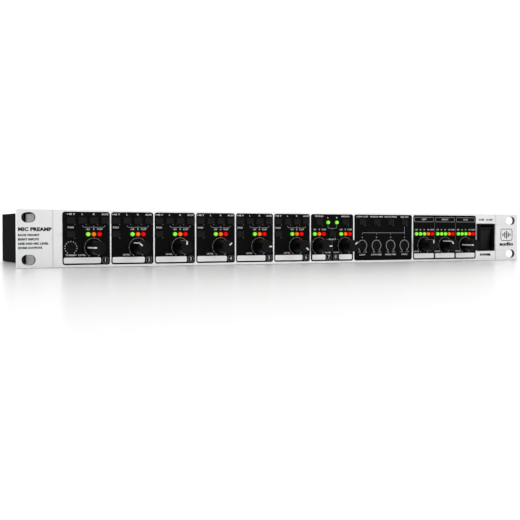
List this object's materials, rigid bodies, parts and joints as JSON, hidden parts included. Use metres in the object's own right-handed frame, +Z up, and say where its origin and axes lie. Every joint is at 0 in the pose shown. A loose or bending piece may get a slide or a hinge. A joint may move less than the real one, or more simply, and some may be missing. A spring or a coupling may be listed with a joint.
{
  "type": "microphone preamp",
  "caption": "Rack-mount microphone preamp and zone mixer with a silver front panel, black control fields, level knobs, push buttons, lit meters and a power rocker.",
  "frame": {"origin": "bottom centre of the unit's bounding box, on the surface that it stands on", "axes": "+X to the right along the front panel, +Y from the front panel back into the case, +Z up"},
  "size_m": [0.4826, 0.199, 0.044],
  "materials": {
    "silver_panel": "fine brushed, silver",
    "zinc_steel": "bare zinc-plated sheet steel",
    "black_paint": "satin black powder coat",
    "knob_black": "satin black",
    "key_grey": "matt dark grey",
    "trimmer_grey": "matt dark grey",
    "switch_black": "semi-gloss black",
    "connector_black": "black plastic connectors in a black steel plate",
    "circuit_board": "green solder mask",
    "print_black": "matt black screen print",
    "print_white": "matt white screen print",
    "print_grey": "matt grey screen print",
    "screw_steel": "blackened steel",
    "connector_metal": "nickel plated",
    "gold_contact": "gold plated",
    "lamp_green": "lit green lens",
    "lamp_orange": "lit orange lens",
    "lamp_red": "lit red lens"
  },
  "bodies": {
    "case": {"front_panel": "silver_panel", "chassis_tray": "zinc_steel", "top_cover": "black_paint", "control_board": "circuit_board", "rear_panel": "connector_black", "power_switch_housing": "switch_black"},
    "power_rocker": {"power_rocker": "switch_black"},
    "ch1_level_knob": {"ch1_level_knob": "knob_black"},
    "ch2_level_knob": {"ch2_level_knob": "knob_black"},
    "ch3_level_knob": {"ch3_level_knob": "knob_black"},
    "ch4_level_knob": {"ch4_level_knob": "knob_black"},
    "ch5_level_knob": {"ch5_level_knob": "knob_black"},
    "ch6_level_knob": {"ch6_level_knob": "knob_black"},
    "ch7_level_knob": {"ch7_level_knob": "knob_black"},
    "ch8_level_knob": {"ch8_level_knob": "knob_black"},
    "left_level_knob": {"left_level_knob": "knob_black"},
    "right_level_knob": {"right_level_knob": "knob_black"},
    "aux_level_knob": {"aux_level_knob": "knob_black"},
    "threshold_trimmer": {"threshold_trimmer": "trimmer_grey"},
    "low_trimmer": {"low_trimmer": "trimmer_grey"},
    "low_mid_trimmer": {"low_mid_trimmer": "trimmer_grey"},
    "high_mid_trimmer": {"high_mid_trimmer": "trimmer_grey"},
    "high_trimmer": {"high_trimmer": "trimmer_grey"},
    "ch1_phantom_button": {"ch1_phantom_button": "key_grey"},
    "ch1_left_button": {"ch1_left_button": "key_grey"},
    "ch1_right_button": {"ch1_right_button": "key_grey"},
    "ch1_aux_button": {"ch1_aux_button": "key_grey"},
    "ch1_pad_button": {"ch1_pad_button": "key_grey"},
    "ch2_phantom_button": {"ch2_phantom_button": "key_grey"},
    "ch2_left_button": {"ch2_left_button": "key_grey"},
    "ch2_right_button": {"ch2_right_button": "key_grey"},
    "ch2_aux_button": {"ch2_aux_button": "key_grey"},
    "ch2_pad_button": {"ch2_pad_button": "key_grey"},
    "ch3_phantom_button": {"ch3_phantom_button": "key_grey"},
    "ch3_left_button": {"ch3_left_button": "key_grey"},
    "ch3_right_button": {"ch3_right_button": "key_grey"},
    "ch3_aux_button": {"ch3_aux_button": "key_grey"},
    "ch3_pad_button": {"ch3_pad_button": "key_grey"},
    "ch4_phantom_button": {"ch4_phantom_button": "key_grey"},
    "ch4_left_button": {"ch4_left_button": "key_grey"},
    "ch4_right_button": {"ch4_right_button": "key_grey"},
    "ch4_aux_button": {"ch4_aux_button": "key_grey"},
    "ch4_pad_button": {"ch4_pad_button": "key_grey"},
    "ch5_phantom_button": {"ch5_phantom_button": "key_grey"},
    "ch5_left_button": {"ch5_left_button": "key_grey"},
    "ch5_right_button": {"ch5_right_button": "key_grey"},
    "ch5_aux_button": {"ch5_aux_button": "key_grey"},
    "ch5_pad_button": {"ch5_pad_button": "key_grey"},
    "ch6_phantom_button": {"ch6_phantom_button": "key_grey"},
    "ch6_left_button": {"ch6_left_button": "key_grey"},
    "ch6_right_button": {"ch6_right_button": "key_grey"},
    "ch6_aux_button": {"ch6_aux_button": "key_grey"},
    "ch6_pad_button": {"ch6_pad_button": "key_grey"},
    "ch7_mono_button": {"ch7_mono_button": "key_grey"},
    "ch8_mono_button": {"ch8_mono_button": "key_grey"},
    "stereo_select_button": {"stereo_select_button": "key_grey"},
    "low_cut_button": {"low_cut_button": "key_grey"},
    "mono_button": {"mono_button": "key_grey"},
    "mute_button": {"mute_button": "key_grey"},
    "eq_on_button": {"eq_on_button": "key_grey"}
  },
  "joints": [
    {"name": "power_rocker_tilt", "type": "hinge", "parent": "case", "child": "power_rocker", "pos_m": [0.2017, -0.081, 0.022], "axis": [1, 0, 0], "range_deg": [-20, 0]},
    {"name": "ch1_level_turn", "type": "hinge", "parent": "case", "child": "ch1_level_knob", "pos_m": [-0.1825, -0.085, 0.015], "axis": [0, 1, 0], "range_deg": [-60, 240]},
    {"name": "ch2_level_turn", "type": "hinge", "parent": "case", "child": "ch2_level_knob", "pos_m": [-0.14682, -0.085, 0.015], "axis": [0, 1, 0], "range_deg": [-102, 198]},
    {"name": "ch3_level_turn", "type": "hinge", "parent": "case", "child": "ch3_level_knob", "pos_m": [-0.11114, -0.085, 0.015], "axis": [0, 1, 0], "range_deg": [-150, 150]},
    {"name": "ch4_level_turn", "type": "hinge", "parent": "case", "child": "ch4_level_knob", "pos_m": [-0.07546, -0.085, 0.015], "axis": [0, 1, 0], "range_deg": [-197, 103]},
    {"name": "ch5_level_turn", "type": "hinge", "parent": "case", "child": "ch5_level_knob", "pos_m": [-0.03978, -0.085, 0.015], "axis": [0, 1, 0], "range_deg": [-240, 60]},
    {"name": "ch6_level_turn", "type": "hinge", "parent": "case", "child": "ch6_level_knob", "pos_m": [-0.0041, -0.085, 0.015], "axis": [0, 1, 0], "range_deg": [-282, 18]},
    {"name": "ch7_level_turn", "type": "hinge", "parent": "case", "child": "ch7_level_knob", "pos_m": [0.0181, -0.085, 0.015], "axis": [0, 1, 0], "range_deg": [-240, 60]},
    {"name": "ch8_level_turn", "type": "hinge", "parent": "case", "child": "ch8_level_knob", "pos_m": [0.0447, -0.085, 0.015], "axis": [0, 1, 0], "range_deg": [-197, 103]},
    {"name": "left_level_turn", "type": "hinge", "parent": "case", "child": "left_level_knob", "pos_m": [0.12985, -0.085, 0.015], "axis": [0, 1, 0], "range_deg": [-150, 150]},
    {"name": "right_level_turn", "type": "hinge", "parent": "case", "child": "right_level_knob", "pos_m": [0.1538, -0.085, 0.015], "axis": [0, 1, 0], "range_deg": [-105, 195]},
    {"name": "aux_level_turn", "type": "hinge", "parent": "case", "child": "aux_level_knob", "pos_m": [0.17775, -0.085, 0.015], "axis": [0, 1, 0], "range_deg": [-60, 240]},
    {"name": "threshold_trim", "type": "hinge", "parent": "case", "child": "threshold_trimmer", "pos_m": [-0.20044, -0.085, 0.015], "axis": [0, 1, 0], "range_deg": [-140, 140]},
    {"name": "low_trim", "type": "hinge", "parent": "case", "child": "low_trimmer", "pos_m": [0.0624, -0.085, 0.015], "axis": [0, 1, 0], "range_deg": [-140, 140]},
    {"name": "low_mid_trim", "type": "hinge", "parent": "case", "child": "low_mid_trimmer", "pos_m": [0.07753, -0.085, 0.015], "axis": [0, 1, 0], "range_deg": [-140, 140]},
    {"name": "high_mid_trim", "type": "hinge", "parent": "case", "child": "high_mid_trimmer", "pos_m": [0.09266, -0.085, 0.015], "axis": [0, 1, 0], "range_deg": [-140, 140]},
    {"name": "high_trim", "type": "hinge", "parent": "case", "child": "high_trimmer", "pos_m": [0.10779, -0.085, 0.015], "axis": [0, 1, 0], "range_deg": [-140, 140]},
    {"name": "ch1_phantom_press", "type": "slide", "parent": "case", "child": "ch1_phantom_button", "axis": [0, 1, 0], "range_m": [0, 0.002], "stiffness_N_per_m": 300},
    {"name": "ch1_left_press", "type": "slide", "parent": "case", "child": "ch1_left_button", "axis": [0, 1, 0], "range_m": [0, 0.002], "stiffness_N_per_m": 300},
    {"name": "ch1_right_press", "type": "slide", "parent": "case", "child": "ch1_right_button", "axis": [0, 1, 0], "range_m": [0, 0.002], "stiffness_N_per_m": 300},
    {"name": "ch1_aux_press", "type": "slide", "parent": "case", "child": "ch1_aux_button", "axis": [0, 1, 0], "range_m": [0, 0.002], "stiffness_N_per_m": 300},
    {"name": "ch1_pad_press", "type": "slide", "parent": "case", "child": "ch1_pad_button", "axis": [0, 1, 0], "range_m": [0, 0.002], "stiffness_N_per_m": 300},
    {"name": "ch2_phantom_press", "type": "slide", "parent": "case", "child": "ch2_phantom_button", "axis": [0, 1, 0], "range_m": [0, 0.002], "stiffness_N_per_m": 300},
    {"name": "ch2_left_press", "type": "slide", "parent": "case", "child": "ch2_left_button", "axis": [0, 1, 0], "range_m": [0, 0.002], "stiffness_N_per_m": 300},
    {"name": "ch2_right_press", "type": "slide", "parent": "case", "child": "ch2_right_button", "axis": [0, 1, 0], "range_m": [0, 0.002], "stiffness_N_per_m": 300},
    {"name": "ch2_aux_press", "type": "slide", "parent": "case", "child": "ch2_aux_button", "axis": [0, 1, 0], "range_m": [0, 0.002], "stiffness_N_per_m": 300},
    {"name": "ch2_pad_press", "type": "slide", "parent": "case", "child": "ch2_pad_button", "axis": [0, 1, 0], "range_m": [0, 0.002], "stiffness_N_per_m": 300},
    {"name": "ch3_phantom_press", "type": "slide", "parent": "case", "child": "ch3_phantom_button", "axis": [0, 1, 0], "range_m": [0, 0.002], "stiffness_N_per_m": 300},
    {"name": "ch3_left_press", "type": "slide", "parent": "case", "child": "ch3_left_button", "axis": [0, 1, 0], "range_m": [0, 0.002], "stiffness_N_per_m": 300},
    {"name": "ch3_right_press", "type": "slide", "parent": "case", "child": "ch3_right_button", "axis": [0, 1, 0], "range_m": [0, 0.002], "stiffness_N_per_m": 300},
    {"name": "ch3_aux_press", "type": "slide", "parent": "case", "child": "ch3_aux_button", "axis": [0, 1, 0], "range_m": [0, 0.002], "stiffness_N_per_m": 300},
    {"name": "ch3_pad_press", "type": "slide", "parent": "case", "child": "ch3_pad_button", "axis": [0, 1, 0], "range_m": [0, 0.002], "stiffness_N_per_m": 300},
    {"name": "ch4_phantom_press", "type": "slide", "parent": "case", "child": "ch4_phantom_button", "axis": [0, 1, 0], "range_m": [0, 0.002], "stiffness_N_per_m": 300},
    {"name": "ch4_left_press", "type": "slide", "parent": "case", "child": "ch4_left_button", "axis": [0, 1, 0], "range_m": [0, 0.002], "stiffness_N_per_m": 300},
    {"name": "ch4_right_press", "type": "slide", "parent": "case", "child": "ch4_right_button", "axis": [0, 1, 0], "range_m": [0, 0.002], "stiffness_N_per_m": 300},
    {"name": "ch4_aux_press", "type": "slide", "parent": "case", "child": "ch4_aux_button", "axis": [0, 1, 0], "range_m": [0, 0.002], "stiffness_N_per_m": 300},
    {"name": "ch4_pad_press", "type": "slide", "parent": "case", "child": "ch4_pad_button", "axis": [0, 1, 0], "range_m": [0, 0.002], "stiffness_N_per_m": 300},
    {"name": "ch5_phantom_press", "type": "slide", "parent": "case", "child": "ch5_phantom_button", "axis": [0, 1, 0], "range_m": [0, 0.002], "stiffness_N_per_m": 300},
    {"name": "ch5_left_press", "type": "slide", "parent": "case", "child": "ch5_left_button", "axis": [0, 1, 0], "range_m": [0, 0.002], "stiffness_N_per_m": 300},
    {"name": "ch5_right_press", "type": "slide", "parent": "case", "child": "ch5_right_button", "axis": [0, 1, 0], "range_m": [0, 0.002], "stiffness_N_per_m": 300},
    {"name": "ch5_aux_press", "type": "slide", "parent": "case", "child": "ch5_aux_button", "axis": [0, 1, 0], "range_m": [0, 0.002], "stiffness_N_per_m": 300},
    {"name": "ch5_pad_press", "type": "slide", "parent": "case", "child": "ch5_pad_button", "axis": [0, 1, 0], "range_m": [0, 0.002], "stiffness_N_per_m": 300},
    {"name": "ch6_phantom_press", "type": "slide", "parent": "case", "child": "ch6_phantom_button", "axis": [0, 1, 0], "range_m": [0, 0.002], "stiffness_N_per_m": 300},
    {"name": "ch6_left_press", "type": "slide", "parent": "case", "child": "ch6_left_button", "axis": [0, 1, 0], "range_m": [0, 0.002], "stiffness_N_per_m": 300},
    {"name": "ch6_right_press", "type": "slide", "parent": "case", "child": "ch6_right_button", "axis": [0, 1, 0], "range_m": [0, 0.002], "stiffness_N_per_m": 300},
    {"name": "ch6_aux_press", "type": "slide", "parent": "case", "child": "ch6_aux_button", "axis": [0, 1, 0], "range_m": [0, 0.002], "stiffness_N_per_m": 300},
    {"name": "ch6_pad_press", "type": "slide", "parent": "case", "child": "ch6_pad_button", "axis": [0, 1, 0], "range_m": [0, 0.002], "stiffness_N_per_m": 300},
    {"name": "ch7_mono_press", "type": "slide", "parent": "case", "child": "ch7_mono_button", "axis": [0, 1, 0], "range_m": [0, 0.002], "stiffness_N_per_m": 300},
    {"name": "ch8_mono_press", "type": "slide", "parent": "case", "child": "ch8_mono_button", "axis": [0, 1, 0], "range_m": [0, 0.002], "stiffness_N_per_m": 300},
    {"name": "stereo_select_press", "type": "slide", "parent": "case", "child": "stereo_select_button", "axis": [0, 1, 0], "range_m": [0, 0.002], "stiffness_N_per_m": 300},
    {"name": "low_cut_press", "type": "slide", "parent": "case", "child": "low_cut_button", "axis": [0, 1, 0], "range_m": [0, 0.002], "stiffness_N_per_m": 300},
    {"name": "mono_press", "type": "slide", "parent": "case", "child": "mono_button", "axis": [0, 1, 0], "range_m": [0, 0.002], "stiffness_N_per_m": 300},
    {"name": "mute_press", "type": "slide", "parent": "case", "child": "mute_button", "axis": [0, 1, 0], "range_m": [0, 0.002], "stiffness_N_per_m": 300},
    {"name": "eq_on_press", "type": "slide", "parent": "case", "child": "eq_on_button", "axis": [0, 1, 0], "range_m": [0, 0.002], "stiffness_N_per_m": 300}
  ]
}
